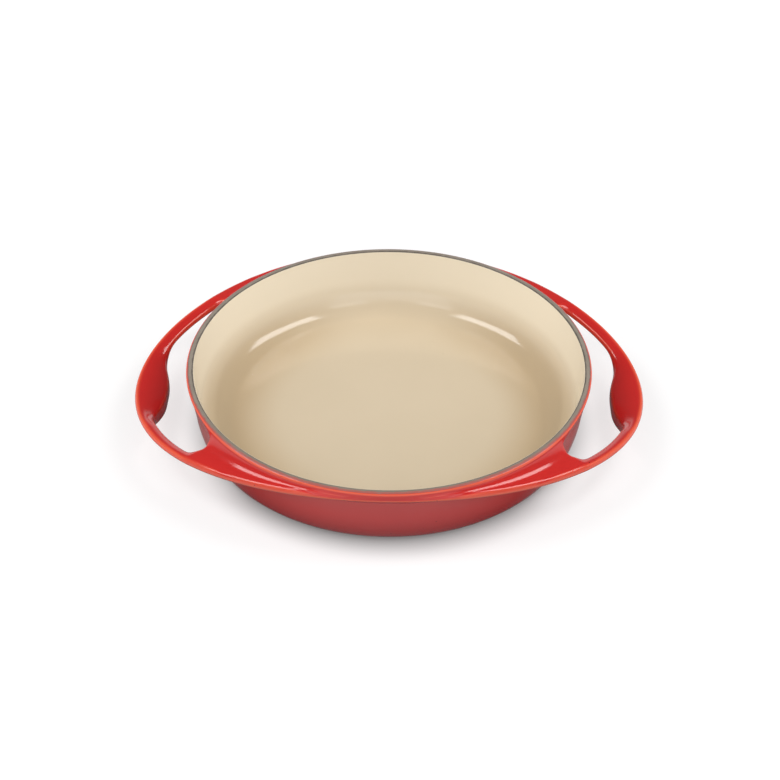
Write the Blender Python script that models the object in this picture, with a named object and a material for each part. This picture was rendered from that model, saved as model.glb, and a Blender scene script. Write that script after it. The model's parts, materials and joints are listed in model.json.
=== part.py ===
"""Shallow round baking dish in enamelled cast iron, with an oval flange and two loop handles.

Metres, +Z up. The origin is the centre of the face that the dish stands on, and the handles lie
along X. The iron is one casting. Its enamel is modelled as separate coats: the outer coat over
the wall, flange and handles, the coat under the foot, the lining, and the band on the rim.

The outside is one surface. It is laid out as sections, from the rim to the foot, in one quarter
of the dish, and mirrored. The coats and the iron are then measured inwards from it.
"""

import math

import bmesh
import bpy
from mathutils import Matrix, Vector

# Bowl
HEIGHT = 0.0475
RIM_INNER_RADIUS = 0.125
RIM_WIDTH = 0.0048
RIM_CROWN = 0.0005
BAND_WIDTH = 0.0034
BEAD_DEPTH = 0.0020
NECK_DEPTH = 0.0085
NECK_RELIEF = 0.0009
WALL_DRAFT = math.radians(8.7)
CORNER_RADIUS = 0.015
COVE_RADIUS = 0.020
FLOOR_THICKNESS = 0.0045

# Oval plate that forms the flange and the handles
HANDLE_REACH = 0.0342
FRONT_OVERHANG = 0.0005
PLATE_THICKNESS = 0.0050
PLATE_DROP = 0.0024
PLATE_SAG = 0.0188
PLATE_SAG_POWER = 2.2
EDGE_RADIUS = 0.0022
FILLET_RADIUS = 0.0050
UNDER_FILLET = 0.0015

# Handles
ARM_WIDTH = 0.0086
ARM_ROLL = 0.0015
PAD_WIDTH = 0.0196
PAD_HALF_LENGTH = 0.0400
PAD_SHAPE = 1.5
PAD_ROLL = 0.0068
PAD_THICKNESS = 0.0107
DEEP_HALF_LENGTH = 0.0460
DEEP_SHAPE = 2.9
ROLL_POWER = 1.6
OPENING_END_RADIUS = 0.0085
OPENING_END_TURN = math.radians(39.0)

# Coats
ENAMEL_THICKNESS = 0.0004
COAT_GAP = 0.0003

# Fineness, counted in one quarter of the dish
WALL_STEPS = 6
FLANGE_STEPS = 11
HANDLE_STEPS = 14
END_STEPS = 6
END_STEPS_ON_HANDLE = 3
CORNER_STEPS = 3
COVE_STEPS = 6
BAND_STEPS = 4
PULLED_STEPS = 4
PULL_POWER = 1.5
END_TURN_STEP = math.radians(1.1)
INNER_ROW_SHARE = 0.2
WALL_ROW_SHARES = (0.13, 0.40, 0.65, 0.85)

# Rows of a section through the flange, counted from the rim: the plate's top where the opening
# begins, its underside there, and the underside where it reaches the wall
TOP_INNER = 6
UNDER_INNER = 15
UNDER_WALL = 19

# Where the flange is narrow, its roundings take these shares of its width and height at most,
# and below this width its section is drawn out towards a straight line
EDGE_SHARE = 0.45
RISE_SHARE = 0.8
NARROW_PLATE = 0.006
# The opening's edge is rounded less where it runs into the wall
CREASE_SHARES = (0.6, 0.8, 0.9, 1.0)

RIM_OUTER_RADIUS = RIM_INNER_RADIUS + RIM_WIDTH
PLATE_HALF_LENGTH = RIM_OUTER_RADIUS + HANDLE_REACH
PLATE_HALF_WIDTH = RIM_OUTER_RADIUS + FRONT_OVERHANG
SHOULDER_HEIGHT = HEIGHT - BEAD_DEPTH
COAT_DEPTH = ENAMEL_THICKNESS + COAT_GAP
HALF_ROUND = math.sin(math.radians(45))

FINISHES = {
    "iron": ((0.10, 0.10, 0.105), 0.6, 0.9),
    "outer": ((0.55, 0.020, 0.022), 0.18, 0.0),
    "foot": ((0.20, 0.015, 0.016), 0.35, 0.0),
    "lining": ((0.70, 0.58, 0.41), 0.25, 0.0),
    "band": ((0.25, 0.22, 0.19), 0.55, 0.0),
}


def mix(first, second, share):
    return first + (second - first) * share


def eased(share):
    """0 to 1 with a soft start and end."""
    share = max(0.0, min(1.0, share))
    return share * share * (3 - 2 * share)


def at(radius, angle, height):
    return Vector((radius * math.cos(angle), radius * math.sin(angle), height))


def raised(plan, height):
    return Vector((plan.x, plan.y, height))


def plan_angle(plan):
    return math.atan2(plan.y, plan.x)


def turned(direction, angle):
    return Matrix.Rotation(angle, 2) @ direction


def shoulder():
    """Radius and height of three points round the outside of the rim, from the band down."""
    start = RIM_INNER_RADIUS + BAND_WIDTH + COAT_GAP
    points = []
    for step in range(3):
        angle = math.radians(45 * step)
        radius = mix(start, RIM_OUTER_RADIUS, math.sin(angle))
        height = mix(SHOULDER_HEIGHT, HEIGHT - RIM_CROWN, math.cos(angle))
        points.append((radius, height))
    return points


def body_radius(height):
    """Outside of the wall at a height: a relieved neck under the rim's bead, then a plain taper."""
    depth = SHOULDER_HEIGHT - height
    share = min(1.0, depth / (NECK_DEPTH - BEAD_DEPTH))
    relief = NECK_RELIEF * (1 - (1 - share) ** 2)
    return RIM_OUTER_RADIUS - depth * math.tan(WALL_DRAFT) - relief


def corner():
    """Radius and height of the points round the bowl's lower corner, from the wall to the foot."""
    start = CORNER_RADIUS * (1 - math.sin(WALL_DRAFT))
    centre = body_radius(start) - CORNER_RADIUS * math.cos(WALL_DRAFT)
    points = []
    for step in range(CORNER_STEPS + 1):
        angle = mix(WALL_DRAFT, math.pi / 2, step / CORNER_STEPS)
        radius = centre + CORNER_RADIUS * math.cos(angle)
        points.append((radius, CORNER_RADIUS * (1 - math.sin(angle))))
    return points


def lower_wall(top, angle):
    """Section of the wall from a height down to the foot."""
    start = corner()[0][1]
    middle = (top + start) / 2
    heights = [top, middle]
    wall = [at(body_radius(height), angle, height) for height in heights]
    return wall + [at(radius, angle, height) for radius, height in corner()]


def plate_edge(turn):
    """Plan point on the plate's oval edge, and the direction that points out of the plate there."""
    point = Vector((PLATE_HALF_LENGTH * math.cos(turn), PLATE_HALF_WIDTH * math.sin(turn)))
    across = Vector((math.cos(turn) / PLATE_HALF_LENGTH, math.sin(turn) / PLATE_HALF_WIDTH))
    return point, across.normalized()


def edge_radius(angle):
    """Distance from the dish's axis to the plate's edge."""
    across = math.cos(angle) / PLATE_HALF_LENGTH
    along = math.sin(angle) / PLATE_HALF_WIDTH
    return 1 / math.hypot(across, along)


def plate_top(distance):
    """Height of the plate's top, which bends down along X towards the handles."""
    sag = PLATE_SAG * (abs(distance) / PLATE_HALF_LENGTH) ** PLATE_SAG_POWER
    return HEIGHT - PLATE_DROP - sag


def end_circle():
    """Centre of the opening's round end, and the direction from it to the handle's edge."""
    edge, outward = plate_edge(OPENING_END_TURN)
    return edge - outward * (ARM_WIDTH + OPENING_END_RADIUS), outward


def end_sweep(bend_radius, wall_radius):
    """Angle round the opening's end, from the handle to where it meets a wall of this radius."""
    centre, outward = end_circle()
    reach = centre.length
    cosine = (bend_radius**2 + reach**2 - wall_radius**2) / (2 * bend_radius * reach)
    off_axis = math.acos(max(-1.0, min(1.0, cosine)))
    return plan_angle(centre) + math.pi - off_axis - plan_angle(outward)


def end_point(share):
    """Plan point on the top edge of the opening's end, and the direction into the opening.

    share runs from 0 at the handle to 1 at the wall.
    """
    centre, outward = end_circle()
    bend_radius = OPENING_END_RADIUS + EDGE_RADIUS
    direction = turned(outward, share * end_sweep(bend_radius, RIM_OUTER_RADIUS))
    return centre + direction * bend_radius, -direction


def crease_angle():
    """Where the opening's end runs into the wall."""
    level = plate_top(RIM_OUTER_RADIUS * math.cos(OPENING_END_TURN)) - PLATE_THICKNESS / 2
    centre, outward = end_circle()
    radius = body_radius(level)
    direction = turned(outward, end_sweep(OPENING_END_RADIUS + EDGE_RADIUS, radius))
    return plan_angle(centre + direction * (OPENING_END_RADIUS + EDGE_RADIUS))


def under_plate(angle):
    """Height at which the plate's underside has run into the wall."""
    distance = RIM_OUTER_RADIUS * math.cos(angle)
    return plate_top(distance) - PLATE_THICKNESS - UNDER_FILLET


def top_rows(rim_angle, pull):
    """Plan places of the plate's top, from the wall outwards, as (radius, angle) pairs.

    pull bends the section from a radial line, at 0, on to the end of the opening, at 1.
    """
    crease = crease_angle()
    last_turn = OPENING_END_TURN + END_STEPS_ON_HANDLE * END_TURN_STEP
    last_edge = plate_edge(last_turn)[0]
    edge_angle = rim_angle + pull * (plan_angle(last_edge) - crease)
    reach = edge_radius(edge_angle) - RIM_OUTER_RADIUS
    fillet = min(FILLET_RADIUS, EDGE_SHARE * reach)
    rounding = min(EDGE_RADIUS, EDGE_SHARE * reach)
    first = fillet + INNER_ROW_SHARE * (reach - fillet - rounding)
    distances = [0, fillet * (1 - HALF_ROUND), fillet, first]
    rows = []
    for step, distance in enumerate(distances):
        share = 1 - step / END_STEPS
        place = end_point(share)[0]
        angle = rim_angle + pull * (plan_angle(place) - crease)
        rows.append((mix(RIM_OUTER_RADIUS + distance, place.length, pull), angle))
    inner_radius, inner_angle = rows[-1]
    for share in (1 / 3, 2 / 3, 1):
        radius = mix(inner_radius, RIM_OUTER_RADIUS + reach - rounding, share)
        rows.append((radius, mix(inner_angle, edge_angle, share)))
    return rows, edge_angle


def flange_height(radius, angle):
    """Height of the plate's top with the fillet that rises from it to the wall."""
    top = plate_top(radius * math.cos(angle))
    reach = edge_radius(angle) - RIM_OUTER_RADIUS
    width = min(FILLET_RADIUS, EDGE_SHARE * reach)
    rise = min(FILLET_RADIUS, RISE_SHARE * (SHOULDER_HEIGHT - top))
    share = max(0.0, 1 - (radius - RIM_OUTER_RADIUS) / width)
    return top + rise * (1 - math.sqrt(1 - min(1.0, share) ** 2))


def pulled_straight(start, points, end, share):
    """Points between two others, as given at a share of 1 and on the straight line at 0."""
    result = []
    for step, point in enumerate(points):
        straight = start.lerp(end, (step + 1) / (len(points) + 1))
        result.append(straight.lerp(point, share))
    return result


def flange_section(rim_angle, pull):
    """Section of the outside through the flange, from the rim to the foot."""
    rim = [at(radius, rim_angle, height) for radius, height in shoulder()]
    wall = lower_wall(under_plate(rim_angle), rim_angle)
    rows, edge_angle = top_rows(rim_angle, pull)
    radius = edge_radius(edge_angle)
    reach = radius - RIM_OUTER_RADIUS
    rounding = min(EDGE_RADIUS, EDGE_SHARE * reach)
    edge_top = plate_top(radius * math.cos(edge_angle))
    edge_bottom = edge_top - PLATE_THICKNESS
    half = EDGE_RADIUS * (1 - HALF_ROUND)
    side_top = at(radius, edge_angle, edge_top - EDGE_RADIUS)
    side_bottom = at(radius, edge_angle, edge_bottom + EDGE_RADIUS)
    half_radius = radius - rounding * (1 - HALF_ROUND)

    above = [at(place, angle, flange_height(place, angle)) for place, angle in rows]
    above.append(at(half_radius, edge_angle, edge_top - half))
    below = [at(half_radius, edge_angle, edge_bottom + half)]
    below.append(at(radius - rounding, edge_angle, edge_bottom))
    for place, angle in reversed(rows[:4]):
        level = plate_top(place * math.cos(angle)) - PLATE_THICKNESS
        below.append(at(place, angle, level))
    share = eased(reach / NARROW_PLATE)
    above = pulled_straight(rim[-1], above, side_top, share)
    below = pulled_straight(side_bottom, below, wall[0], share)
    return rim + above + [side_top, side_bottom] + below + wall


def wall_section(angle):
    """Section of the wall behind a handle's opening, from the rim to the foot."""
    section = [at(radius, angle, height) for radius, height in shoulder()]
    bottom = under_plate(crease_angle())
    for share in WALL_ROW_SHARES:
        height = mix(SHOULDER_HEIGHT, bottom, share)
        section.append(at(body_radius(height), angle, height))
    return section + lower_wall(bottom, angle)


def side_section(top, bottom, inward, rounding):
    """Four points down the side of the opening, between its top edge and its bottom edge."""
    near = inward * rounding * HALF_ROUND
    far = inward * rounding
    half = rounding * (1 - HALF_ROUND)
    return [
        raised(top.xy + near, top.z - half),
        raised(top.xy + far, top.z - rounding),
        raised(bottom.xy + far, bottom.z + rounding),
        raised(bottom.xy + near, bottom.z + half),
    ]


def handle_section(inner, inward, edge, inner_height, inner_thickness):
    """Closed section of a handle, from the top's inner edge out, under and back."""
    across = inner - edge
    width = across.length
    across.normalize()
    edge_top = plate_top(edge.x)
    edge_bottom = edge_top - PLATE_THICKNESS
    half = EDGE_RADIUS * (1 - HALF_ROUND)
    section = []
    for share in (0, 1 / 3, 2 / 3, 1):
        distance = mix(width, EDGE_RADIUS, share)
        fall = (edge_top - inner_height) * (distance / width) ** ROLL_POWER
        section.append(raised(edge + across * distance, edge_top - fall))
    section.append(raised(edge + across * half, edge_top - half))
    section.append(raised(edge, edge_top - EDGE_RADIUS))
    section.append(raised(edge, edge_bottom + EDGE_RADIUS))
    section.append(raised(edge + across * half, edge_bottom + half))
    section.append(raised(edge + across * EDGE_RADIUS, edge_bottom))
    top = section[0]
    bottom = raised(inner, inner_height - inner_thickness)
    section.append(bottom)
    return section + list(reversed(side_section(top, bottom, inward, EDGE_RADIUS)))


def pad_share(distance, half_length, shape):
    """1 in the middle of the grip, 0 from where it has faded into an arm.

    A larger shape keeps the grip full for longer and ends it more suddenly.
    """
    share = min(1.0, abs(distance) / half_length) ** shape
    return (1 + math.cos(math.pi * share)) / 2


def handle_sections():
    """Sections of a quarter's handle, from the opening's end to the middle of the grip."""
    sections = []
    for step in range(END_STEPS_ON_HANDLE - 1, 0, -1):
        inner, inward = end_point(step / END_STEPS)
        edge = plate_edge(OPENING_END_TURN + step * END_TURN_STEP)[0]
        share = eased(1 - step / END_STEPS_ON_HANDLE)
        rolled = plate_top(edge.x) - ARM_ROLL
        height = mix(plate_top(inner.x), rolled, share)
        sections.append(handle_section(inner, inward, edge, height, PLATE_THICKNESS))
    for step in range(HANDLE_STEPS + 1):
        edge, outward = plate_edge(OPENING_END_TURN * (1 - step / HANDLE_STEPS))
        share = pad_share(edge.y, PAD_HALF_LENGTH, PAD_SHAPE)
        deep = pad_share(edge.y, DEEP_HALF_LENGTH, DEEP_SHAPE)
        width = mix(ARM_WIDTH, PAD_WIDTH, share)
        inner = edge - outward * (width - EDGE_RADIUS)
        height = plate_top(edge.x) - mix(ARM_ROLL, PAD_ROLL, deep)
        thickness = mix(PLATE_THICKNESS, PAD_THICKNESS, deep)
        sections.append(handle_section(inner, -outward, edge, height, thickness))
    return sections


def opening_sides(flange):
    """Columns down the opening's side, from the crease on the wall to the handle's first section."""
    crease = wall_section(crease_angle())
    columns = [crease[2:8]]
    for step in range(1, 5):
        top = flange[2 + step]
        bottom = flange[UNDER_WALL - step]
        inward = end_point(1 - (step - 1) / END_STEPS)[1]
        rounding = EDGE_RADIUS * CREASE_SHARES[step - 1]
        columns.append([top] + side_section(top, bottom, inward, rounding) + [bottom])
    return columns


def wall_angles():
    """Where the sections of the wall behind an opening lie, in a quarter."""
    return [crease_angle() * step / WALL_STEPS for step in range(WALL_STEPS + 1)]


def flange_angles():
    """Where the sections through the flange lie, in a quarter."""
    return [mix(crease_angle(), math.pi / 2, step / FLANGE_STEPS) for step in range(FLANGE_STEPS + 1)]


def round_angles():
    """Where all the sections lie, right round the dish."""
    quarter = wall_angles() + flange_angles()[1:]
    half = quarter + [math.pi - angle for angle in reversed(quarter[:-1])]
    return half[:-1] + [angle + math.pi for angle in half[:-1]]


def add_strip(mesh, columns, mirror):
    """Quads between neighbouring columns of points, on a mirrored copy of the quarter."""
    grid = [[mesh.verts.new(mirror @ point) for point in column] for column in columns]
    for left, right in zip(grid, grid[1:]):
        for row in range(len(left) - 1):
            mesh.faces.new((left[row], left[row + 1], right[row + 1], right[row]))


def outside_surface():
    """The whole outside of the dish as one open surface, from the rim's band to the foot."""
    walls = [wall_section(angle) for angle in wall_angles()]
    flanges = []
    for step, angle in enumerate(flange_angles()):
        pull = max(0.0, 1 - step / PULLED_STEPS) ** PULL_POWER
        flanges.append(flange_section(angle, pull))
    end = flanges[0]
    sides = opening_sides(end)
    first = end[TOP_INNER : UNDER_INNER + 1] + list(reversed(sides[-1][1:-1]))
    handles = [section + section[:1] for section in [first] + handle_sections()]

    mesh = bmesh.new()
    for mirror_x in (1, -1):
        for mirror_y in (1, -1):
            mirror = Matrix.Diagonal((mirror_x, mirror_y, 1))
            for columns in (walls, flanges, sides, handles):
                add_strip(mesh, columns, mirror)
    bmesh.ops.remove_doubles(mesh, verts=mesh.verts, dist=1e-6)
    bmesh.ops.recalc_face_normals(mesh, faces=mesh.faces)
    # one set of triangles for the coat and the iron behind it, so that they stay evenly apart
    bmesh.ops.triangulate(mesh, faces=mesh.faces, quad_method="SHORT_EDGE")
    return mesh


def sunk(mesh, depth):
    """Places of an open surface's points when it is moved inwards, square to itself.

    Its open edges lie level, so their points move straight down from the rim or up from the foot.
    """
    mesh.normal_update()
    places = []
    for vert in mesh.verts:
        if vert.is_boundary:
            inward = Vector((0, 0, math.copysign(1, HEIGHT / 2 - vert.co.z)))
        else:
            inward = -vert.normal * vert.calc_shell_factor()
        places.append(vert.co + inward * depth)
    return places


def outer_coat():
    """The outside, the same surface sunk by the coat's thickness, and the edges between them."""
    mesh = outside_surface()
    places = sunk(mesh, ENAMEL_THICKNESS)
    faces = list(mesh.faces)
    edges = [edge for edge in mesh.edges if edge.is_boundary]
    back = {}
    for vert, place_behind in zip(list(mesh.verts), places):
        back[vert] = mesh.verts.new(place_behind)
    for face in faces:
        mesh.faces.new([back[vert] for vert in reversed(face.verts)])
    for edge in edges:
        first, second = edge.verts
        mesh.faces.new((first, second, back[second], back[first]))
    bmesh.ops.recalc_face_normals(mesh, faces=mesh.faces)
    return mesh


def band_height(radius):
    """Height of the rim's crowned band."""
    middle = RIM_INNER_RADIUS + BAND_WIDTH / 2
    share = (radius - middle) / (BAND_WIDTH / 2)
    return HEIGHT - RIM_CROWN * share**2


def band_section(outer, inner, depth):
    """Radius and height across the band, from its outside in, at a depth below its surface."""
    points = []
    for step in range(BAND_STEPS + 1):
        radius = mix(outer, inner, step / BAND_STEPS)
        points.append((radius, band_height(radius) - depth))
    return points


def inside(top, depth):
    """Radius and height down the inside of the bowl to its flat floor, at a depth in the metal."""
    slope = math.tan(WALL_DRAFT)
    stretch = 1 / math.cos(WALL_DRAFT)
    centre_height = FLOOR_THICKNESS + COVE_RADIUS
    centre = RIM_INNER_RADIUS - (HEIGHT - centre_height) * slope - COVE_RADIUS * stretch
    points = [(RIM_INNER_RADIUS - (HEIGHT - top) * slope + depth * stretch, top)]
    for step in range(COVE_STEPS + 1):
        angle = mix(WALL_DRAFT, math.pi / 2, step / COVE_STEPS)
        radius = centre + (COVE_RADIUS + depth) * math.cos(angle)
        points.append((radius, centre_height - (COVE_RADIUS + depth) * math.sin(angle)))
    return points


def join_rings(mesh, first, second):
    """Quads between two closed rings of points."""
    for index, vert in enumerate(first):
        after = (index + 1) % len(first)
        mesh.faces.new((vert, first[after], second[after], second[index]))


def add_rings(mesh, ring, profile):
    """Carry a ring on along a profile of radius and height, and return the last ring."""
    for radius, height in profile:
        following = [mesh.verts.new(at(radius, plan_angle(vert.co), height)) for vert in ring]
        join_rings(mesh, ring, following)
        ring = following
    return ring


def turned_piece(profile, closed):
    """A piece turned about the dish's axis. An open profile is capped flat at both ends."""
    mesh = bmesh.new()
    radius, height = profile[0]
    first = [mesh.verts.new(at(radius, angle, height)) for angle in round_angles()]
    last = add_rings(mesh, first, profile[1:])
    if closed:
        join_rings(mesh, last, first)
    else:
        mesh.faces.new(first)
        mesh.faces.new(last)
    bmesh.ops.recalc_face_normals(mesh, faces=mesh.faces)
    return mesh


def open_ring(mesh, low):
    """Points of an open edge in order round the axis: the foot's if low, otherwise the rim's."""
    ring = [vert for vert in mesh.verts if vert.is_boundary and (vert.co.z < HEIGHT / 2) == low]
    return sorted(ring, key=lambda vert: plan_angle(vert.co))


def casting():
    """The iron: the outside and the inside of the dish, each sunk to lie clear behind its coat."""
    mesh = outside_surface()
    for vert, place_behind in zip(mesh.verts, sunk(mesh, COAT_DEPTH)):
        vert.co = place_behind
    rim = open_ring(mesh, False)
    foot = open_ring(mesh, True)
    inner = RIM_INNER_RADIUS + COAT_DEPTH
    seat = band_section(RIM_INNER_RADIUS + BAND_WIDTH, inner, COAT_DEPTH)
    profile = seat + inside(lining_top() - COAT_DEPTH, COAT_DEPTH)
    mesh.faces.new(add_rings(mesh, rim, profile))
    mesh.faces.new(foot)
    bmesh.ops.recalc_face_normals(mesh, faces=mesh.faces)
    return mesh


def lining_top():
    """Height at which the lining ends, clear under the band."""
    return HEIGHT - RIM_CROWN - ENAMEL_THICKNESS - COAT_GAP


def lining():
    front = inside(lining_top(), 0)
    back = inside(lining_top(), ENAMEL_THICKNESS)
    return turned_piece(list(reversed(back)) + front, False)


def rim_band():
    inner = RIM_INNER_RADIUS
    outer = RIM_INNER_RADIUS + BAND_WIDTH
    under = band_section(outer, inner, ENAMEL_THICKNESS)
    return turned_piece(band_section(outer, inner, 0) + list(reversed(under)), True)


def foot_coat():
    radius = corner()[-1][0] - COAT_GAP
    return turned_piece([(radius, 0), (radius, ENAMEL_THICKNESS)], False)


def show_material(target, name):
    """Give an object a Principled BSDF with the finish listed under this name."""
    colour, roughness, metallic = FINISHES[name]
    material = bpy.data.materials.new(name)
    material.use_nodes = True
    shader = material.node_tree.nodes["Principled BSDF"]
    shader.inputs["Base Color"].default_value = (*colour, 1)
    shader.inputs["Roughness"].default_value = roughness
    shader.inputs["Metallic"].default_value = metallic
    target.data.materials.append(material)


def place(name, mesh, finish):
    """Turn a mesh under construction into a named, smooth-shaded object."""
    data = bpy.data.meshes.new(name)
    mesh.to_mesh(data)
    mesh.free()
    data.shade_smooth()
    data.set_sharp_from_angle(angle=math.radians(35))
    made = bpy.data.objects.new(name, data)
    bpy.context.scene.collection.objects.link(made)
    show_material(made, finish)
    return made


def main():
    for item in list(bpy.data.objects):
        bpy.data.objects.remove(item)
    place("iron_casting", casting(), "iron")
    place("outer_enamel", outer_coat(), "outer")
    place("base_enamel", foot_coat(), "foot")
    place("inner_enamel", lining(), "lining")
    place("rim_band", rim_band(), "band")


main()
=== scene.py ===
# %% [markdown]
# # A tarte tatin dish in enamelled cast iron
#
# The dish is one iron casting, about 330 mm over its two handles, dipped in red enamel outside
# and cream enamel inside, with a grey ground coat left bare on the rim. This lesson dresses the
# plain solid parts: it rebuilds the visible coats with finer surfaces, gives each its finish, and
# sets the dish on a white floor under studio light. All lengths are in metres, with +Z up.

# %% Load the plain parts and note the space they take
import json
import math

import bmesh
import bpy
import numpy as np
from mathutils import Matrix, Vector

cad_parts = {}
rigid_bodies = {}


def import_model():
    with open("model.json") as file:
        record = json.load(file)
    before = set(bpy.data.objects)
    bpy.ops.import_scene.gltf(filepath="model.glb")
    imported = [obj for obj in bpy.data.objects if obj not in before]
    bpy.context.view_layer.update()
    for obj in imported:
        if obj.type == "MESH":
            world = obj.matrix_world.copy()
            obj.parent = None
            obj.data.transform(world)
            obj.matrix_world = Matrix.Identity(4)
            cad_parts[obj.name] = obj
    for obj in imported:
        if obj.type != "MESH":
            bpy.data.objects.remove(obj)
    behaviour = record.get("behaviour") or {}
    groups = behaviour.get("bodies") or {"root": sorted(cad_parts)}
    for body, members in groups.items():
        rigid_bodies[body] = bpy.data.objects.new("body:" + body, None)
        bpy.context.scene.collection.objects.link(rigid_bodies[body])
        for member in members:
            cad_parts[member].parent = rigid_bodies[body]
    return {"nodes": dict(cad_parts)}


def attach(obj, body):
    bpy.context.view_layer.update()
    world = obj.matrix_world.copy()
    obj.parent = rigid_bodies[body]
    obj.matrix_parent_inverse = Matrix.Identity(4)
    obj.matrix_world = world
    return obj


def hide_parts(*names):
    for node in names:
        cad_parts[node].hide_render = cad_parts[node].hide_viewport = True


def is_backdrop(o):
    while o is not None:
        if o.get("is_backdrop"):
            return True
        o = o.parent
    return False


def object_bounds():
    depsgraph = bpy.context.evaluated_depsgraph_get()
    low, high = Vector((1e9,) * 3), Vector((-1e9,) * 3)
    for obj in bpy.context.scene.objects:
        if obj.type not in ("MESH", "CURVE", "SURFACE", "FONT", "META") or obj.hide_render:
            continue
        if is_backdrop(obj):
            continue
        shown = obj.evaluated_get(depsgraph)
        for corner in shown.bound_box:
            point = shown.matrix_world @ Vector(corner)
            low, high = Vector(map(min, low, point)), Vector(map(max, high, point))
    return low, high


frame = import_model()
box_of_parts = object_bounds()
for name, part in frame["nodes"].items():
    print(name, len(part.data.polygons), "triangles, slots", [slot.name for slot in part.material_slots])

# %% [markdown]
# ## Two habits for work in edit mode
#
# An operator acts on everything that is selected, and the parts are selected just after loading.
# So each step starts from an empty selection. A finished piece then gets its place into its mesh,
# so that its object sits at the origin, unturned and unscaled, and it rides on the dish's one body.


# %% Start fresh, and finish a piece
def start_fresh():
    """Leave edit mode and select nothing."""
    active = bpy.context.view_layer.objects.active
    if active is not None and active.mode != "OBJECT":
        bpy.ops.object.mode_set(mode="OBJECT")
    bpy.ops.object.select_all(action="DESELECT")


def finish_piece(piece, name, stands_for):
    """Settle a piece at the origin, name it, and let it stand for its plain part."""
    bpy.ops.object.mode_set(mode="OBJECT")
    bpy.ops.object.transform_apply(location=True, rotation=True, scale=True)
    piece.name = name
    piece.data.name = name
    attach(piece, "root")
    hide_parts(stands_for)
    print(name, len(piece.data.vertices), "points,", len(piece.data.polygons), "faces")


# %% [markdown]
# ## Turned pieces, ring by ring
#
# The bowl's lining, the rim's band and the coat under the foot are all round, so each could be
# spun from a drawn profile. Here a circle is extruded and resized from ring to ring instead. It
# is the same shape, it has no seam to merge, and each ring can be given its measure in turn.

# %% A helper that turns a profile into rings
SIDES = 192


def turn_rings(profile):
    """Add a circle at the profile's first radius and height, and extrude it along the rest."""
    start_fresh()
    radius, height = profile[0]
    bpy.ops.mesh.primitive_circle_add(vertices=SIDES, radius=radius, location=(0, 0, height), enter_editmode=True)
    bpy.ops.mesh.select_mode(type="EDGE")
    for (before, low), (after, high) in zip(profile, profile[1:]):
        bpy.ops.mesh.extrude_edges_move(TRANSFORM_OT_translate={"value": (0, 0, high - low)})
        scale = after / before
        bpy.ops.transform.resize(value=(scale, scale, 1), center_override=(0, 0, height))
    return bpy.context.object


def close_middle():
    """Carry the last ring, which is still selected, to one point in its middle."""
    bpy.ops.mesh.extrude_edges_move()
    bpy.ops.mesh.merge(type="CENTER")


# %% [markdown]
# Rings alone leave open edges, faces that may look either way, and flat shading. The next helpers
# take care of these. A sheet of glass gets its thickness behind the side that is seen, so that its
# measured face stays where it is.

# %% Helpers that turn faces, find open edges, shade and thicken
SMOOTH_BELOW = math.radians(40)


def point_outwards():
    """Turn all faces the same way, outwards where the mesh is closed."""
    bpy.ops.mesh.select_all(action="SELECT")
    bpy.ops.mesh.normals_make_consistent(inside=False)


def face_up(piece):
    """Turn all the faces of an open sheet so that the ones that lie level look up."""
    point_outwards()
    sheet = bmesh.from_edit_mesh(piece.data)
    level = max(sheet.faces, key=lambda face: abs(face.normal.z) * face.calc_area())
    if level.normal.z < 0:
        bpy.ops.mesh.flip_normals()


def select_open_edges(piece):
    """Select only the edges that have no face on one side."""
    bpy.ops.mesh.select_all(action="DESELECT")
    sheet = bmesh.from_edit_mesh(piece.data)
    for edge in sheet.edges:
        edge.select = edge.is_boundary
    bmesh.update_edit_mesh(piece.data)


def shade_smooth():
    """Leave edit mode and shade smoothly, except across sharp edges."""
    bpy.ops.object.mode_set(mode="OBJECT")
    bpy.ops.object.shade_smooth_by_angle(angle=SMOOTH_BELOW)


def thicken(piece, thickness):
    """Give a sheet its thickness behind its visible side, and apply it."""
    bpy.ops.object.mode_set(mode="OBJECT")
    solid = piece.modifiers.new("Coat thickness", "SOLIDIFY")
    solid.thickness = thickness
    solid.offset = -1
    bpy.ops.object.modifier_apply(modifier=solid.name)
    shade_smooth()


# %% [markdown]
# ## The cream lining
#
# Inside, the bowl's wall leans out by about nine degrees and runs into the flat floor through a
# generous cove, which is what lets a tart slide out. The lining starts just under the rim's band.
# The cove is the glossiest place in the picture, so its quarter circle gets the most rings.

# %% Shape the lining
HEIGHT = 0.0475
INNER_RADIUS = 0.125
WALL_DRAFT = math.radians(8.7)
COVE_RADIUS = 0.020
FLOOR = 0.0045
COAT = 0.0004
LINING_TOP = HEIGHT - 0.00062
WALL_RINGS = 8
COVE_RINGS = 24
FLOOR_SHARES = (0.985, 0.95, 0.88, 0.75, 0.55, 0.35, 0.15)

cove_height = FLOOR + COVE_RADIUS
cove_centre = INNER_RADIUS - (HEIGHT - cove_height) * math.tan(WALL_DRAFT) - COVE_RADIUS / math.cos(WALL_DRAFT)
wall_foot = cove_height - COVE_RADIUS * math.sin(WALL_DRAFT)

profile = []
for step in range(WALL_RINGS + 1):
    height = LINING_TOP + (wall_foot - LINING_TOP) * step / WALL_RINGS
    profile.append((INNER_RADIUS - (HEIGHT - height) * math.tan(WALL_DRAFT), height))
for step in range(1, COVE_RINGS + 1):
    angle = WALL_DRAFT + (math.pi / 2 - WALL_DRAFT) * step / COVE_RINGS
    profile.append((cove_centre + COVE_RADIUS * math.cos(angle), cove_height - COVE_RADIUS * math.sin(angle)))
profile += [(cove_centre * share, FLOOR) for share in FLOOR_SHARES]

lining = turn_rings(profile)
close_middle()
face_up(lining)
thicken(lining, COAT)
finish_piece(lining, "cream_lining", "inner_enamel")
print("floor is level out to", round(cove_centre * 1000, 1), "mm")

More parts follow.
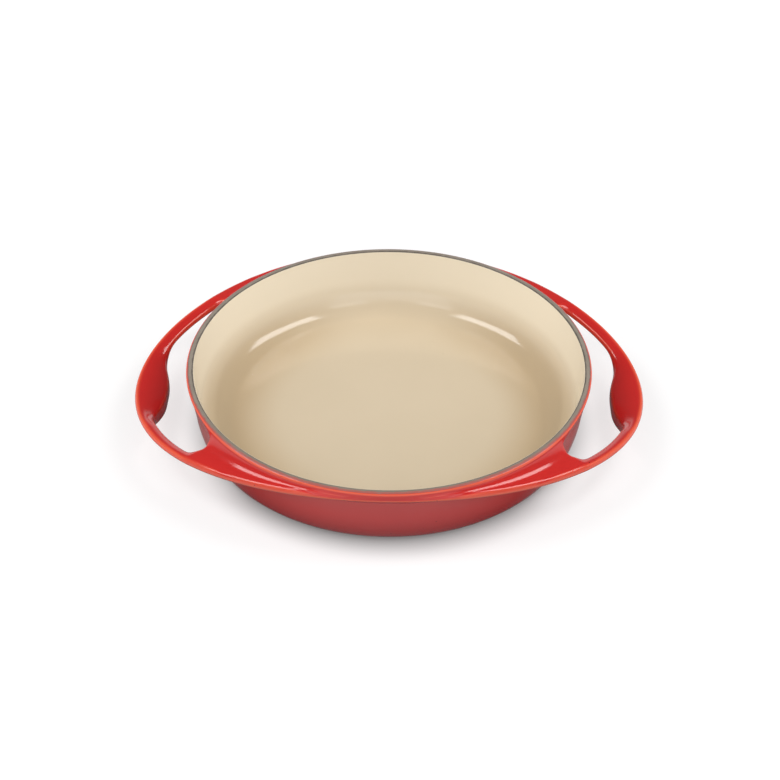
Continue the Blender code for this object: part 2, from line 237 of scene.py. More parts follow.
# %% [markdown]
# ## The bare band on the rim
#
# The rim's top is left without glaze: a matt grey ground coat, very slightly crowned, with soft
# edges. It is a closed ring, so its section is carried all the way round and bridged to its start.
# The soft edge comes from a high power of the distance to the middle: it is nothing over most of
# the width and drops only at the very edge.

# %% Shape the band
BAND_OUTER = 0.12866
BAND_CROWN = 0.0005
BAND_EDGE = 0.00016
EDGE_POWER = 14
BAND_RINGS = 14

band_middle = (INNER_RADIUS + BAND_OUTER) / 2
half_width = (BAND_OUTER - INNER_RADIUS) / 2
band_bottom = HEIGHT - BAND_CROWN - COAT
section = [(BAND_OUTER, band_bottom)]
for step in range(BAND_RINGS + 1):
    share = 1 - 2 * step / BAND_RINGS
    height = HEIGHT - BAND_CROWN * share**2 - BAND_EDGE * abs(share) ** EDGE_POWER
    section.append((band_middle + half_width * share, height))
section.append((INNER_RADIUS, band_bottom))

band = turn_rings(section)
select_open_edges(band)
bpy.ops.mesh.bridge_edge_loops()
point_outwards()
shade_smooth()
finish_piece(band, "grey_band", "rim_band")

# %% [markdown]
# ## The coat under the foot
#
# The dish stands on a flat round of enamel. It is a thin disc whose edge is rounded where it
# meets the red coat, so that no hard step shows from below. Its underside is closed in the middle
# like the lining, and its hidden top with one large face.

# %% Shape the foot's coat
FOOT_RADIUS = 0.10866
FOOT_RINGS = (FOOT_RADIUS - 0.00022, 0.104, 0.09, 0.06, 0.03, 0.01)

foot_profile = [(FOOT_RADIUS, COAT), (FOOT_RADIUS, COAT * 0.4), (FOOT_RADIUS - 0.00007, COAT * 0.12)]
foot = turn_rings(foot_profile + [(radius, 0) for radius in FOOT_RINGS])
close_middle()
select_open_edges(foot)
bpy.ops.mesh.edge_face_add()
point_outwards()
shade_smooth()
finish_piece(foot, "foot_coat", "base_enamel")

# %% [markdown]
# ## The red coat
#
# Outside, one coat of red enamel runs from the rim down the wall and out over the flange and the
# two loop handles. Its section changes all the way round, so it isn't built up from a primitive:
# it starts from a copy of the plain coat. The copy is merged, because its triangles come loose.
# The narrow strips that close it at the rim and at the foot go first. That parts the side that is
# seen from the side that lies on the iron, and the hidden side can be dropped.

# %% Copy the plain coat and merge it
MERGE_WITHIN = 0.00002

start_fresh()
plain_coat = frame["nodes"]["outer_enamel"]
plain_coat.select_set(True)
bpy.context.view_layer.objects.active = plain_coat
bpy.ops.object.duplicate()
coat = bpy.context.object
place = coat.matrix_world.copy()
coat.parent = None
coat.matrix_world = place
for key in list(coat.keys()):
    del coat[key]
bpy.ops.object.mode_set(mode="EDIT")
bpy.ops.mesh.select_all(action="SELECT")
bpy.ops.mesh.remove_doubles(threshold=MERGE_WITHIN)
bpy.ops.mesh.select_mode(type="FACE")
bpy.ops.mesh.select_all(action="DESELECT")
print("merged to", len(bmesh.from_edit_mesh(coat.data).verts), "points")

# %% [markdown]
# The strips are found by their place. Once they are gone, everything that hangs together with the
# outermost point is the visible side, and the rest is deleted. Quads subdivide far more evenly
# than triangles, so the triangles are then joined in pairs, even across strong bends.

# %% Keep the visible side
RIM_STRIP_ABOVE = HEIGHT - 0.00095
RIM_STRIP_WITHIN = 0.12875
FOOT_STRIP_BELOW = 0.00045
JOIN_UP_TO = math.radians(80)
ANY_SHAPE = math.radians(180)


def is_end_strip(face):
    """The narrow faces that close the coat at the rim and at the foot."""
    at_rim = all(vert.co.z > RIM_STRIP_ABOVE and vert.co.xy.length < RIM_STRIP_WITHIN for vert in face.verts)
    at_foot = all(vert.co.z < FOOT_STRIP_BELOW for vert in face.verts)
    return at_rim or at_foot


shell = bmesh.from_edit_mesh(coat.data)
for face in shell.faces:
    face.select = is_end_strip(face)
bmesh.update_edit_mesh(coat.data)
print("end strips", sum(face.select for face in shell.faces), "faces")
bpy.ops.mesh.delete(type="FACE")

shell = bmesh.from_edit_mesh(coat.data)
outermost = max(shell.verts, key=lambda vert: vert.co.x)
for face in outermost.link_faces:
    face.select = True
bmesh.update_edit_mesh(coat.data)
bpy.ops.mesh.select_linked()
bpy.ops.mesh.select_all(action="INVERT")
bpy.ops.mesh.delete(type="FACE")
bpy.ops.mesh.select_all(action="SELECT")
bpy.ops.mesh.tris_convert_to_quads(face_threshold=JOIN_UP_TO, shape_threshold=ANY_SHAPE)
shell = bmesh.from_edit_mesh(coat.data)
print("visible side:", len(shell.faces), "faces,", sum(len(face.verts) == 3 for face in shell.faces), "still triangles")

# %% [markdown]
# Two levels of subdivision make the surface round enough for sharp reflections. Shading alone
# could hide the corners of a coarse mesh, but not its outline against the white floor.

# %% Round the coat
bpy.ops.object.mode_set(mode="OBJECT")
rounding = coat.modifiers.new("Rounding", "SUBSURF")
rounding.levels = 2
rounding.render_levels = 2
bpy.ops.object.modifier_apply(modifier=rounding.name)
print("rounded to", len(coat.data.vertices), "points")

# %% [markdown]
# Melted glass gathers in hollow corners and draws away from sharp edges. Both are worked out from
# the mesh itself: each point is compared with the middle of its neighbours along the edges. Where
# that middle lies outside the surface, the place is hollow, and the coat is raised a little.
# Arrays do this for all points at once, where a loop over a mesh this fine would take minutes.


# %% Read a mesh as arrays
def mesh_arrays(mesh):
    """Places and normals of the points, and each edge taken once from either end."""
    places = np.empty(len(mesh.vertices) * 3)
    normals = np.empty(len(mesh.vertices) * 3)
    pairs = np.empty(len(mesh.edges) * 2, dtype=np.int64)
    mesh.vertices.foreach_get("co", places)
    mesh.vertices.foreach_get("normal", normals)
    mesh.edges.foreach_get("vertices", pairs)
    pairs = pairs.reshape(-1, 2)
    here, there = np.concatenate([pairs, pairs[:, ::-1]]).T
    return places.reshape(-1, 3), normals.reshape(-1, 3), here, there


def neighbours_mean(values, here, there):
    """The mean of a value over each point's neighbours."""
    return np.bincount(here, weights=values[there]) / np.bincount(here)


def fade(values, none_at, full_at):
    """A share that grows evenly from 0 to 1 while a value goes from one number to another."""
    return np.clip((values - none_at) / (full_at - none_at), 0, 1)


# %% [markdown]
# The rim and the foot are left out by soft masks, because the band and the foot's coat meet the
# red there. Small steps, repeated, let the glass level itself, and a last few passes of easing
# and sharpening in turn even out bumps without shrinking the form. Low on the wall and under the
# pads the subdivision has drawn the coat in as far as the iron's corners, so there it is raised
# again by its own thickness. Each mask below is a pair: where it is nothing, and where it is full.

# %% Let the glass gather in the hollows
POOL_PASSES = 60
POOL_STEP = 0.5
POOL_MOST = 0.0009
EDGE_LOSS = 0.00005
EVEN_PASSES = 12
EVEN_SHARES = (0.5, -0.53)
LOW_COVER = 0.0004
UNDER_RIM = (HEIGHT - 0.0008, HEIGHT - 0.0028)
BESIDE_RIM = (0.1297, 0.1317)
ABOVE_FOOT = (0.008, 0.012)
LOW_BEGINS = (0.001, 0.005)
LOW_ENDS = (0.026, 0.018)


def pool(mesh):
    """Raise hollow places along their normals, even out small bumps, and cover the iron low down."""
    places, normals, here, there = mesh_arrays(mesh)
    height = places[:, 2]
    across = np.hypot(places[:, 0], places[:, 1])
    off_rim = np.maximum(fade(height, *UNDER_RIM), fade(across, *BESIDE_RIM))
    free = np.minimum(off_rim, fade(height, *ABOVE_FOOT))
    low = np.minimum(fade(height, *LOW_BEGINS), fade(height, *LOW_ENDS))

    def to_middle(now):
        return np.stack([neighbours_mean(now[:, axis], here, there) for axis in range(3)], 1) - now

    rise = np.zeros(len(places))
    for _ in range(POOL_PASSES):
        now = places + rise[:, None] * normals
        rise += POOL_STEP * (to_middle(now) * normals).sum(1) * free
        rise = np.clip(rise, -EDGE_LOSS, POOL_MOST)
    now = places + rise[:, None] * normals
    for _ in range(EVEN_PASSES):
        for share in EVEN_SHARES:
            now += share * to_middle(now) * free[:, None]
    rise = ((now - places) * normals).sum(1)
    now += (np.maximum(rise, -EDGE_LOSS) - rise)[:, None] * normals
    now += (LOW_COVER * low**2 * (3 - 2 * low))[:, None] * normals
    mesh.vertices.foreach_set("co", now.ravel())
    mesh.update()
    return rise


rise = pool(coat.data) * 1000
print("pooled by", round(rise.mean(), 3), "mm on average, from", round(rise.min(), 2), "to", round(rise.max(), 2))

# %% [markdown]
# Over an edge the glass is thin, and a lighter red shows there; the same lighter red also serves as
# a painted highlight along the edges. Where the edges run is measured once the shape is final: a
# surface bends outwards at a point if its neighbours lie below the plane that touches it there. The
# measure is kept as an attribute of the mesh, which a material can read and which stays with the
# piece when it is exported.

# %% Measure where the coat runs thin
BEND_PASSES = 6
THIN_FROM = 60
THIN_FULL = 250


def outward_bend(mesh, passes):
    """How strongly the surface bends outwards at each point, per metre, evened out a little."""
    places, normals, here, there = mesh_arrays(mesh)
    steps = places[there] - places[here]
    falls = -2 * (steps * normals[here]).sum(1) / (steps**2).sum(1)
    bend = np.bincount(here, weights=falls) / np.bincount(here)
    for _ in range(passes):
        bend = 0.5 * bend + 0.5 * neighbours_mean(bend, here, there)
    return bend


bend = outward_bend(coat.data, BEND_PASSES)
# this mask marks thin glass over the edges, and also where a painted highlight goes
thin_glass_and_highlight = fade(bend, THIN_FROM, THIN_FULL)
coat.data.attributes.new("thin_glass_and_highlight", "FLOAT", "POINT").data.foreach_set("value", thin_glass_and_highlight)
print("bend from", round(bend.min()), "to", round(bend.max()), "per metre")
print("thin on", round(100 * thin_glass_and_highlight.mean()), "percent of the points")

# %% [markdown]
# Last, the sheet gets the coat's thickness on the side of the iron, so that it is a closed solid
# like the plain coat that it replaces.

# %% Give the coat its thickness
thicken(coat, COAT)
finish_piece(coat, "red_coat", "outer_enamel")

# %% [markdown]
# ## Finishes
#
# Each finish is a Principled BSDF. Fired enamel is a thin glass, so it is glossy, slightly rippled
# like orange peel, and carries a few pinholes. These effects are shared, so each is a node group
# with its own inputs, placed in every material with that material's values. Nodes could be set up
# one by one, but a few helpers keep each recipe short enough to read as a recipe.


# %% Helpers for nodes
def add_node(tree, kind, **values):
    """Add a node and set its properties, or its inputs where the name is an input's."""
    made = tree.nodes.new(kind)
    for key, value in values.items():
        label = key.replace("_", " ")
        if label in made.inputs:
            made.inputs[label].default_value = value
        else:
            setattr(made, key, value)
    return made


def maths(tree, operation, first, second=0.0):
    """A Math node, fed by sockets or plain numbers."""
    made = tree.nodes.new("ShaderNodeMath")
    made.operation = operation
    for index, value in enumerate((first, second)):
        if isinstance(value, (int, float)):
            made.inputs[index].default_value = value
        else:
            tree.links.new(value, made.inputs[index])
    return made.outputs[0]


def ramp(tree, value, low, high, start=0.0, end=1.0):
    """Carry a value smoothly from start to end while it goes from low to high."""
    made = tree.nodes.new("ShaderNodeMapRange")
    made.interpolation_type = "SMOOTHSTEP"
    tree.links.new(value, made.inputs["Value"])
    made.inputs["From Min"].default_value = low
    made.inputs["From Max"].default_value = high
    made.inputs["To Min"].default_value = start
    made.inputs["To Max"].default_value = end
    return made.outputs["Result"]


def blended(tree, mask, first, second):
    """Mix two colours, given as sockets or as plain colours, by a mask."""
    made = tree.nodes.new("ShaderNodeMix")
    made.data_type = "RGBA"
    tree.links.new(mask, made.inputs[0])
    for socket, value in ((made.inputs[6], first), (made.inputs[7], second)):
        if isinstance(value, tuple):
            socket.default_value = (*value, 1)
        else:
            tree.links.new(value, socket)
    return made.outputs[2]


# %% [markdown]
# Tones follow the height and the distance from the dish's upright axis: the painted shade low on
# the red wall and round the cream floor, the painted light on the cream wall, and the grey band's
# painted shade along its edges and its red lap. Both come from Object coordinates, which stay with
# the dish wherever it is put, while Generated ones would stretch with its box.


# %% Helpers that tell where on the dish a point lies
def along_axes(tree):
    """The place along X, Y and Z, as three sockets."""
    place = add_node(tree, "ShaderNodeTexCoord")
    split = add_node(tree, "ShaderNodeSeparateXYZ")
    tree.links.new(place.outputs["Object"], split.inputs[0])
    return split.outputs


def from_axis(tree, stretch=1):
    """The distance from the upright axis, with X stretched first where asked."""
    place = add_node(tree, "ShaderNodeTexCoord")
    flat = add_node(tree, "ShaderNodeVectorMath", operation="MULTIPLY")
    flat.inputs[1].default_value = (stretch, 1, 0)
    tree.links.new(place.outputs["Object"], flat.inputs[0])
    across = add_node(tree, "ShaderNodeVectorMath", operation="LENGTH")
    tree.links.new(flat.outputs["Vector"], across.inputs[0])
    return across.outputs["Value"]


# %% [markdown]
# ### Three shared effects
#
# The ripple is the skin of the fired glass: a fine orange peel on a slow wave, put out as one
# height that a Bump node reads. Real bumps this small would need millions of faces.


# %% The ripple of fired enamel
def new_group(name, inputs, output):
    """A shader node group with named number inputs and one number output."""
    tree = bpy.data.node_groups.new(name, "ShaderNodeTree")
    for label, value in inputs:
        socket = tree.interface.new_socket(label, in_out="INPUT", socket_type="NodeSocketFloat")
        socket.default_value = value
    tree.interface.new_socket(output, in_out="OUTPUT", socket_type="NodeSocketFloat")
    return tree, tree.nodes.new("NodeGroupInput"), tree.nodes.new("NodeGroupOutput")


def build_ripple():
    """Fine orange peel on a slow wave, as one height."""
    tree, source, result = new_group("Enamel ripple", [("Grain", 420.0), ("Wave", 45.0), ("Wave share", 0.6)], "Height")
    place = add_node(tree, "ShaderNodeTexCoord")
    fine = add_node(tree, "ShaderNodeTexNoise", Detail=1.0)
    slow = add_node(tree, "ShaderNodeTexNoise", Detail=1.0)
    for texture, label in ((fine, "Grain"), (slow, "Wave")):
        tree.links.new(place.outputs["Object"], texture.inputs["Vector"])
        tree.links.new(source.outputs[label], texture.inputs["Scale"])
    waved = maths(tree, "MULTIPLY", slow.outputs["Fac"], source.outputs["Wave share"])
    rest = maths(tree, "SUBTRACT", 1.0, source.outputs["Wave share"])
    grained = maths(tree, "MULTIPLY", fine.outputs["Fac"], rest)
    tree.links.new(maths(tree, "ADD", waved, grained), result.inputs["Height"])
    return tree


ripple_group = build_ripple()
print(ripple_group.name, "made")

# %% [markdown]
# Gas leaves pinholes in the coat, and grit leaves specks. A Voronoi texture splits space into
# cells: the distance to a cell's centre gives a round spot, and the cell's random colour decides
# which few of the cells have one.


# %% Pinholes and specks
def build_specks():
    """Small round spots, here and there, as a mask."""
    tree, source, result = new_group("Specks", [("Scale", 300.0), ("Size", 0.12), ("Share", 0.3)], "Mask")
    place = add_node(tree, "ShaderNodeTexCoord")
    cells = add_node(tree, "ShaderNodeTexVoronoi")
    tree.links.new(place.outputs["Object"], cells.inputs["Vector"])
    tree.links.new(source.outputs["Scale"], cells.inputs["Scale"])
    near = maths(tree, "LESS_THAN", cells.outputs["Distance"], source.outputs["Size"])
    split = tree.nodes.new("ShaderNodeSeparateColor")
    tree.links.new(cells.outputs["Color"], split.inputs[0])
    chosen = maths(tree, "LESS_THAN", split.outputs[0], source.outputs["Share"])
    tree.links.new(maths(tree, "MULTIPLY", near, chosen), result.inputs["Mask"])
    return tree


specks_group = build_specks()
print(specks_group.name, "made")

# %% [markdown]
# No fired coat has quite one tone or one gloss. Broad soft clouds, from 0 to 1, blend two near
# tones and move the roughness a little.


# %% A slow drift, for shade and gloss
def build_drift():
    """Broad soft clouds from 0 to 1."""
    tree, source, result = new_group("Drift", [("Scale", 20.0)], "Value")
    place = add_node(tree, "ShaderNodeTexCoord")
    clouds = add_node(tree, "ShaderNodeTexNoise", Detail=3.0)
    tree.links.new(place.outputs["Object"], clouds.inputs["Vector"])
    tree.links.new(source.outputs["Scale"], clouds.inputs["Scale"])
    tree.links.new(ramp(tree, clouds.outputs["Fac"], 0.3, 0.7), result.inputs["Value"])
    return tree


drift_group = build_drift()
print(drift_group.name, "made")

# %% [markdown]
# ### Starting a finish
#
# A value that is the same all over the surface is set on the shader's own socket. Only what
# changes from place to place comes through nodes.


# %% Helpers that start a material
def new_finish(name, roughness=0.1, metallic=0.0):
    """A material with a Principled BSDF, and its roughness where that is the same all over."""
    material = bpy.data.materials.new(name)
    material.use_nodes = True
    shader = material.node_tree.nodes["Principled BSDF"]
    shader.inputs["Roughness"].default_value = roughness
    shader.inputs["Metallic"].default_value = metallic
    return material, material.node_tree, shader


def add_group(tree, group, output, **values):
    """Place a node group with its values and return one of its outputs."""
    made = tree.nodes.new("ShaderNodeGroup")
    made.node_tree = group
    for key, value in values.items():
        made.inputs[key.replace("_", " ")].default_value = value
    return made.outputs[output]


def rippled(tree, shader, depth, **values):
    """Let the ripple tilt the shader's surface, with the depth that its height stands for."""
    made = add_node(tree, "ShaderNodeBump", Strength=1.0, Distance=depth)
    tree.links.new(add_group(tree, ripple_group, "Height", **values), made.inputs["Height"])
    tree.links.new(made.outputs["Normal"], shader.inputs["Normal"])


def dress(piece, material):
    """Give a piece its one material."""
    piece.data.materials.clear()
    piece.data.materials.append(material)
    print(piece.name, "wears", material.name)


# %% [markdown]
# ### Red enamel
#
# The outside is a deep, warm red glass. One flat red would look like plastic, so four are blended:
# two near tones by the drift, a lighter orange red over the edges, partly the thin glass there and
# partly a painted highlight, and a darker red low on the wall, which is painted shade. The thin
# edges are a little less glossy too, and that softens the highlight along them.

# %% Mix the red
RED_DEEP = (0.57, 0.022, 0.018)
RED_DARKER = (0.53, 0.018, 0.016)
# the lighter edge red: partly thin glass over the edges, partly a painted highlight along them
RED_THIN_GLASS_AND_HIGHLIGHT = (0.74, 0.095, 0.045)
# painted shade: the darker red low on the wall, near the floor
RED_PAINTED_LOW_SHADE = (0.36, 0.018, 0.019)
RED_SPECK = (0.12, 0.006, 0.006)
LOW_SHADE_HEIGHTS = (0.004, 0.028)
RED_ROUGHNESS = (0.09, 0.13)
THIN_ROUGHER = 0.13
ENAMEL_DEPTH = 0.00012

red, tree, shader = new_finish("red enamel")
drift = add_group(tree, drift_group, "Value", Scale=18.0)
specks = add_group(tree, specks_group, "Mask", Scale=260.0, Size=0.10, Share=0.05)
thin_glass_and_highlight_mask = add_node(tree, "ShaderNodeAttribute", attribute_name="thin_glass_and_highlight").outputs["Fac"]
# painted shade: a mask that darkens the red low on the wall
painted_low_shade = ramp(tree, along_axes(tree)["Z"], *LOW_SHADE_HEIGHTS, 1.0, 0.0)
tone = blended(tree, drift, RED_DEEP, RED_DARKER)
# the lighter edge red: partly thin glass, partly a painted highlight
tone = blended(tree, thin_glass_and_highlight_mask, tone, RED_THIN_GLASS_AND_HIGHLIGHT)
tone = blended(tree, painted_low_shade, tone, RED_PAINTED_LOW_SHADE)
tree.links.new(blended(tree, specks, tone, RED_SPECK), shader.inputs["Base Color"])
rough = maths(tree, "ADD", ramp(tree, drift, 0.0, 1.0, *RED_ROUGHNESS), maths(tree, "MULTIPLY", thin_glass_and_highlight_mask, THIN_ROUGHER))
tree.links.new(rough, shader.inputs["Roughness"])
rippled(tree, shader, ENAMEL_DEPTH, Grain=420.0, Wave=40.0, Wave_share=0.86)
dress(coat, red)

# %% [markdown]
# ### Cream enamel
#
# The lining is a pale cream glass. A ring round the floor is painted darker, most so at the two
# sides: that is painted shade. The wall above it is painted lighter: that is painted light.
# The ring is a mask from the distance to the axis, and its two strong sides come from how much of
# that distance lies along X. The pairs of numbers are where a mask begins and where it is full.

# %% Mix the cream
CREAM_FLOOR = (0.640, 0.534, 0.385)
CREAM_DARKER = (0.626, 0.522, 0.374)
# painted shade: the tone of the darker ring round the floor
CREAM_PAINTED_RING_SHADE = (0.550, 0.425, 0.272)
# painted light: the paler tone of the wall above the cove
CREAM_PAINTED_WALL_LIGHT = (0.83, 0.743, 0.592)
CREAM_SPECK = (0.58, 0.47, 0.33)
CREAM_ROUGHNESS = (0.10, 0.13)
WALL_HEIGHTS = (0.007, 0.028)
RING_RADII = (0.068, 0.102)
RING_SIDES = (0.2, 0.9)
RING_IN_FRONT = 0.15

cream, tree, shader = new_finish("cream enamel")
drift = add_group(tree, drift_group, "Value", Scale=14.0)
specks = add_group(tree, specks_group, "Mask", Scale=140.0, Size=0.07, Share=0.04)
axes = along_axes(tree)
across = from_axis(tree)
# painted light: a mask that lightens the wall above the cove
painted_wall_light = ramp(tree, axes["Z"], *WALL_HEIGHTS)
outer_floor = ramp(tree, across, *RING_RADII)
to_the_sides = maths(tree, "DIVIDE", maths(tree, "ABSOLUTE", axes["X"]), across)
# painted shade: this pooled mask darkens a ring round the floor, most at the two sides
pooled = maths(tree, "MULTIPLY", outer_floor, ramp(tree, to_the_sides, *RING_SIDES, RING_IN_FRONT, 1.0))
tone = blended(tree, drift, CREAM_FLOOR, CREAM_DARKER)
tone = blended(tree, pooled, tone, CREAM_PAINTED_RING_SHADE)
tone = blended(tree, painted_wall_light, tone, CREAM_PAINTED_WALL_LIGHT)
tree.links.new(blended(tree, specks, tone, CREAM_SPECK), shader.inputs["Base Color"])
tree.links.new(ramp(tree, drift, 0.0, 1.0, *CREAM_ROUGHNESS), shader.inputs["Roughness"])
rippled(tree, shader, ENAMEL_DEPTH, Grain=300.0, Wave=30.0, Wave_share=0.86)
dress(lining, cream)

# %% [markdown]
# ### Grey ground coat
#
# The rim shows the bare ground coat, matt and finely speckled. It is painted darker along both
# edges and a little towards the front: both are painted shade. In front the red laps over its
# outer edge. Each of these is a mask from the band's middle line, the distance to the axis or Y. A
# fine drift is added to the distances first, so that the borders wander as brushed ones do and
# don't look drawn by compass.

# %% Mix the grey
GREY_LIGHT = (0.275, 0.236, 0.192)
GREY_DARKER = (0.230, 0.196, 0.158)
# painted shade along the band's two edges
GREY_PAINTED_EDGE_SHADE = (0.085, 0.070, 0.058)
# painted shade towards the band's front
GREY_PAINTED_FRONT_SHADE = (0.17, 0.135, 0.105)
GREY_SPECK = (0.19, 0.16, 0.13)
RED_LAP = (0.40, 0.075, 0.062)
FRONT = -0.125
EDGE_WANDER = 0.0004
LAP_WANDER = 0.0006
LAP_IN_FRONT = 0.0010
EDGE_OFF_MIDDLE = (0.0008, 0.0018)
FRONT_SHADE_SHARES = (0.55, 0.0)
LAP_RADII = (0.1279, 0.1290)
LAP_SHARES = (0.0, 0.8)

grey, tree, shader = new_finish("grey ground coat", 0.55)
drift = add_group(tree, drift_group, "Value", Scale=60.0)
wander = add_group(tree, drift_group, "Value", Scale=260.0)
specks = add_group(tree, specks_group, "Mask", Scale=1400.0, Size=0.3, Share=0.3)
to_the_back = along_axes(tree)["Y"]
across = from_axis(tree)
off_middle = maths(tree, "ABSOLUTE", maths(tree, "SUBTRACT", across, band_middle))
off_middle = maths(tree, "ADD", off_middle, maths(tree, "MULTIPLY", wander, EDGE_WANDER))
lap = maths(tree, "ADD", across, maths(tree, "MULTIPLY", wander, LAP_WANDER))
lap = maths(tree, "ADD", lap, ramp(tree, to_the_back, FRONT, 0.0, LAP_IN_FRONT, 0.0))
tone = blended(tree, drift, GREY_LIGHT, GREY_DARKER)
# painted shade: the band's two edges are darkened
tone = blended(tree, ramp(tree, off_middle, *EDGE_OFF_MIDDLE), tone, GREY_PAINTED_EDGE_SHADE)
# painted shade: the band is darkened towards the front
tone = blended(tree, ramp(tree, to_the_back, FRONT, -0.02, *FRONT_SHADE_SHARES), tone, GREY_PAINTED_FRONT_SHADE)
tone = blended(tree, ramp(tree, lap, *LAP_RADII, *LAP_SHARES), tone, RED_LAP)
tree.links.new(blended(tree, specks, tone, GREY_SPECK), shader.inputs["Base Color"])
rippled(tree, shader, 0.00005, Grain=1500.0, Wave=200.0, Wave_share=0.3)
dress(band, grey)

# %% [markdown]
# ### The foot and the hidden iron
#
# The foot's coat is the part that rubs on shelves and stoves, so it is darker and less glossy. The
# iron is covered on all sides. It keeps its plain mesh, but it is a piece like the others and gets
# the look of a cast surface, for anyone who takes the dish apart.

# %% Mix the dark finishes
FOOT_TONES = (0.20, 0.015, 0.016), (0.16, 0.014, 0.014)
IRON_TONES = (0.10, 0.10, 0.105), (0.07, 0.068, 0.066)

dark_red, tree, shader = new_finish("worn red foot", 0.3)
drift = add_group(tree, drift_group, "Value", Scale=40.0)
tree.links.new(blended(tree, drift, *FOOT_TONES), shader.inputs["Base Color"])
rippled(tree, shader, 0.0002, Grain=400.0, Wave=40.0, Wave_share=0.5)
dress(foot, dark_red)

iron, tree, shader = new_finish("bare iron", 0.6, 0.9)
drift = add_group(tree, drift_group, "Value", Scale=80.0)
tree.links.new(blended(tree, drift, *IRON_TONES), shader.inputs["Base Color"])
rippled(tree, shader, 0.0003, Grain=900.0, Wave=200.0, Wave_share=0.4)
frame["nodes"]["iron_casting"].data.materials[0] = iron
print("iron_casting wears", iron.name)

# %% [markdown]
# ## The floor
#
# The dish stands on a white ground on which only a soft shadow shows. A floor painted white would
# throw much light up at the dish, so it is grey, and a glow lifts it to white. The glow is there
# only for what the camera sees straight, and for mirrored and refracted rays. It starts beside
# the foot, so that the shadow round it stays. For mirrored rays it grows more slowly, and it
# starts further out at the two sides, because the floor below the handles lies in their shade.

# %% Lay the floor
FLOOR_SIDE = 24
FLOOR_GREY = (0.36, 0.36, 0.36, 1)
LIFT_NEAR = 0.64
LIFT_FAR = 0.36
FAR_AWAY = (0.2, 0.8)
SEEN_GLOW = (0.106, 0.138)
MIRRORED_GLOW = (0.108, 0.150)
MIRRORED_STRETCH = 0.62

start_fresh()
bpy.ops.mesh.primitive_plane_add(size=FLOOR_SIDE, location=(0, 0, 0))
floor = bpy.context.object
floor.name = "studio_floor"
floor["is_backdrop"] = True

white = bpy.data.materials.new("white floor")
white.use_nodes = True
tree = white.node_tree
shader = tree.nodes["Principled BSDF"]
shader.inputs["Base Color"].default_value = FLOOR_GREY
shader.inputs["Roughness"].default_value = 0.9
shader.inputs["Specular IOR Level"].default_value = 0.0
shader.inputs["Emission Color"].default_value = (1, 1, 1, 1)


def glow_beside(tree, stretch, reach):
    """No glow under the dish, most of it from a little beside it on, and all of it far away."""
    away = from_axis(tree, stretch)
    beside = ramp(tree, away, *reach, 0.0, LIFT_NEAR)
    return maths(tree, "ADD", beside, ramp(tree, away, *FAR_AWAY, 0.0, LIFT_FAR))


rays = add_node(tree, "ShaderNodeLightPath").outputs
straight = maths(tree, "MULTIPLY", rays["Is Camera Ray"], glow_beside(tree, 1.0, SEEN_GLOW))
mirrored = maths(tree, "MAXIMUM", rays["Is Glossy Ray"], rays["Is Transmission Ray"])
mirrored = maths(tree, "MULTIPLY", mirrored, glow_beside(tree, MIRRORED_STRETCH, MIRRORED_GLOW))
tree.links.new(maths(tree, "ADD", straight, mirrored), shader.inputs["Emission Strength"])
floor.data.materials.append(white)
print(floor.name, "is", FLOOR_SIDE, "m wide")

# %% [markdown]
# ## The lamps
#
# Glossy glass shows its lamps as highlights, so their shapes and places matter more than their
# number. Each is an area lamp that faces the dish from a direction, given by angles. Its energy
# comes from its brightness times its area, so a lamp can grow without its highlight fading.


# %% Helpers that hang a lamp
def from_angles(azimuth, elevation):
    """Direction from the dish: azimuth 0 is +X and 90 is the back."""
    a, e = math.radians(azimuth), math.radians(elevation)
    return Vector((math.cos(a) * math.cos(e), math.sin(a) * math.cos(e), math.sin(e)))


def set_up(thing, place, right, above, back):
    """Stand a lamp or camera at a place, turned by its three axes."""
    thing.matrix_world = Matrix.Translation(place) @ Matrix((right, above, back)).transposed().to_4x4()


def softbox(name, out, distance, width, height, radiance):
    """An area lamp that faces the dish from a direction, with one brightness all over."""
    lamp = bpy.data.lights.new(name, "AREA")
    lamp.shape = "RECTANGLE"
    lamp.size = width
    lamp.size_y = height
    lamp.energy = radiance * math.pi * width * height
    made = bpy.data.objects.new(name, lamp)
    bpy.context.scene.collection.objects.link(made)
    made.matrix_world = Matrix.Translation(out * distance) @ out.to_track_quat("Z", "Y").to_matrix().to_4x4()
    return made


def strip_light(name, first, last, distance, width, radiance):
    """A long area lamp that faces the dish and reaches from one direction to another."""
    ends = [from_angles(*angles) * distance for angles in (first, last)]
    out = (ends[0] + ends[1]).normalized()
    along = ends[0] - ends[1]
    along -= along.dot(out) * out
    made = softbox(name, out, distance, along.length, width, radiance)
    along.normalize()
    set_up(made, out * distance, along, out.cross(along), out)


# %% [markdown]
# Two long strips make the arcs of light in the cove, left and right. A wide panel in front lights
# the wall and draws the line along the flange's edge, and two small lamps light the ends of that
# edge. The side panels only fill the shade, so mirrored rays don't see them.

# %% Hang the lamps
STRIP = {"distance": 1.6, "width": 0.48, "radiance": 7.2}
SIDE_PANEL = {"distance": 1.7, "width": 2.2, "height": 1.2, "radiance": 1.65}
FRONT_PANEL = {"distance": 2.0, "width": 2.6, "height": 1.4, "radiance": 1.1}
EDGE_LIGHT = {"distance": 1.8, "width": 0.55, "height": 0.45, "radiance": 2.0}

strip_light("right strip", (22, 41), (-10, 66), **STRIP)
strip_light("left strip", (167, 42.5), (202, 64), **STRIP)
for name, azimuth in (("right panel", -8), ("left panel", 188)):
    panel = softbox(name, from_angles(azimuth, 24), **SIDE_PANEL)
    panel.visible_glossy = False
softbox("front panel", from_angles(-90, 28), **FRONT_PANEL)
softbox("right edge light", from_angles(-57, 50), **EDGE_LIGHT)
softbox("left edge light", from_angles(237, 50), **EDGE_LIGHT)

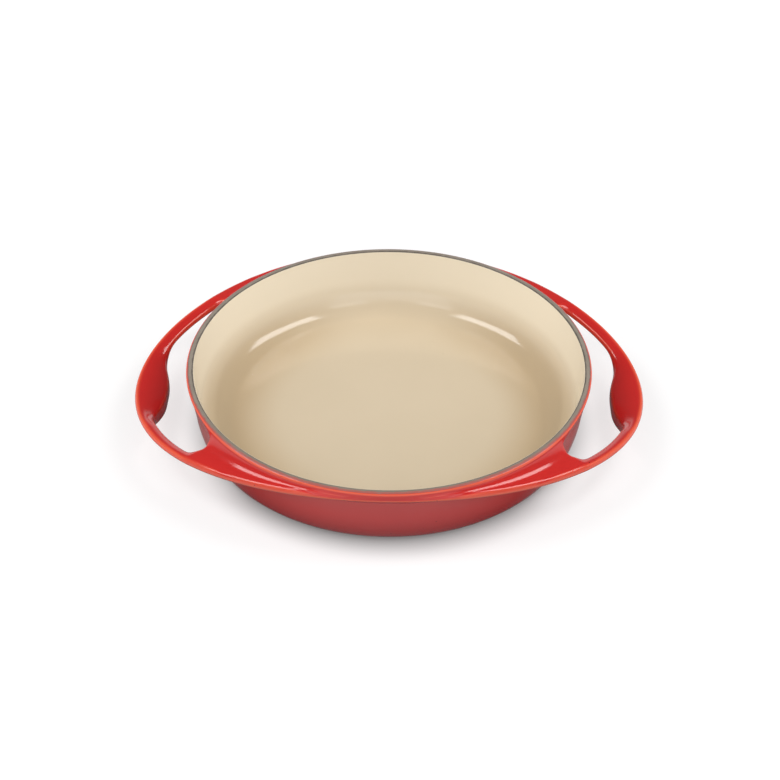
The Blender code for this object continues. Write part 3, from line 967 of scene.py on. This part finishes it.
# %% [markdown]
# ## The world
#
# The world gives a dim, even light from all sides. The floor ends somewhere, and a low view would
# show a grey sky above it, so near the horizon the world is as white as the floor, again only for
# what is seen straight, mirrored or refracted. In the world, Generated is the direction looked in,
# and its Z is 0 at the horizon.

# %% Light the world
WORLD_LIGHT = 0.15
HORIZON_LIFT = 0.83
HORIZON = (0.10, 0.30)

world = bpy.data.worlds.new("studio")
world.use_nodes = True
tree = world.node_tree
background = tree.nodes["Background"]
background.inputs["Color"].default_value = (1, 1, 1, 1)
rays = add_node(tree, "ShaderNodeLightPath").outputs
seen = maths(tree, "MAXIMUM", rays["Is Camera Ray"], rays["Is Glossy Ray"])
seen = maths(tree, "MAXIMUM", seen, rays["Is Transmission Ray"])
direction = add_node(tree, "ShaderNodeTexCoord")
split = add_node(tree, "ShaderNodeSeparateXYZ")
tree.links.new(direction.outputs["Generated"], split.inputs[0])
low = ramp(tree, split.outputs["Z"], *HORIZON, HORIZON_LIFT, 0.0)
tree.links.new(maths(tree, "ADD", maths(tree, "MULTIPLY", seen, low), WORLD_LIGHT), background.inputs["Strength"])
bpy.context.scene.world = world
print("world light", WORLD_LIGHT)

# %% [markdown]
# ## The camera
#
# The picture was taken from in front, about 38 degrees up, with a long lens, so that the far rim
# looks only a little smaller than the near one. The angles, the distance and the lens were fitted
# until the rim's ellipse and the outline fell into place. The lens is worked out for a picture
# 780 pixels wide.

# %% Set the camera
TURN = math.radians(1.05)
RISE = math.radians(38.19)
ROLL = math.radians(0.32)
DISTANCE = 1.1
ASIDE = 0.0007
BELOW = 0.0193
SENSOR = 36
FOCAL_PIXELS = 1719.9
PICTURE_PIXELS = 780

back = Vector((math.sin(TURN) * math.cos(RISE), -math.cos(TURN) * math.cos(RISE), math.sin(RISE)))
side = (-back).cross(Vector((0, 0, 1))).normalized()
above = side.cross(-back)
eye = Vector((0, 0, HEIGHT)) + back * DISTANCE + side * ASIDE - above * BELOW
rolled_side = math.cos(ROLL) * side + math.sin(ROLL) * above
rolled_above = -math.sin(ROLL) * side + math.cos(ROLL) * above

lens = bpy.data.cameras.new("camera")
lens.sensor_width = SENSOR
lens.lens = FOCAL_PIXELS / PICTURE_PIXELS * SENSOR
lens.clip_start = 0.01
camera = bpy.data.objects.new("camera", lens)
bpy.context.scene.collection.objects.link(camera)
set_up(camera, eye, rolled_side, rolled_above, back)
bpy.context.scene.camera = camera
bpy.context.scene.view_settings.view_transform = "Standard"
print("lens", round(lens.lens, 1), "mm")

# %% [markdown]
# ## The size before and after dressing
#
# A finish must not change the dish's size. The space that the dressed dish takes is printed
# beside the space that the plain parts took.

# %% Print the two boxes
box_of_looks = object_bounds()
sizes = {"parts": [list(corner) for corner in box_of_parts], "looks": [list(corner) for corner in box_of_looks]}
for label, (low, high) in sizes.items():
    print(label, [round((b - a) * 1000, 2) for a, b in zip(low, high)], "mm")
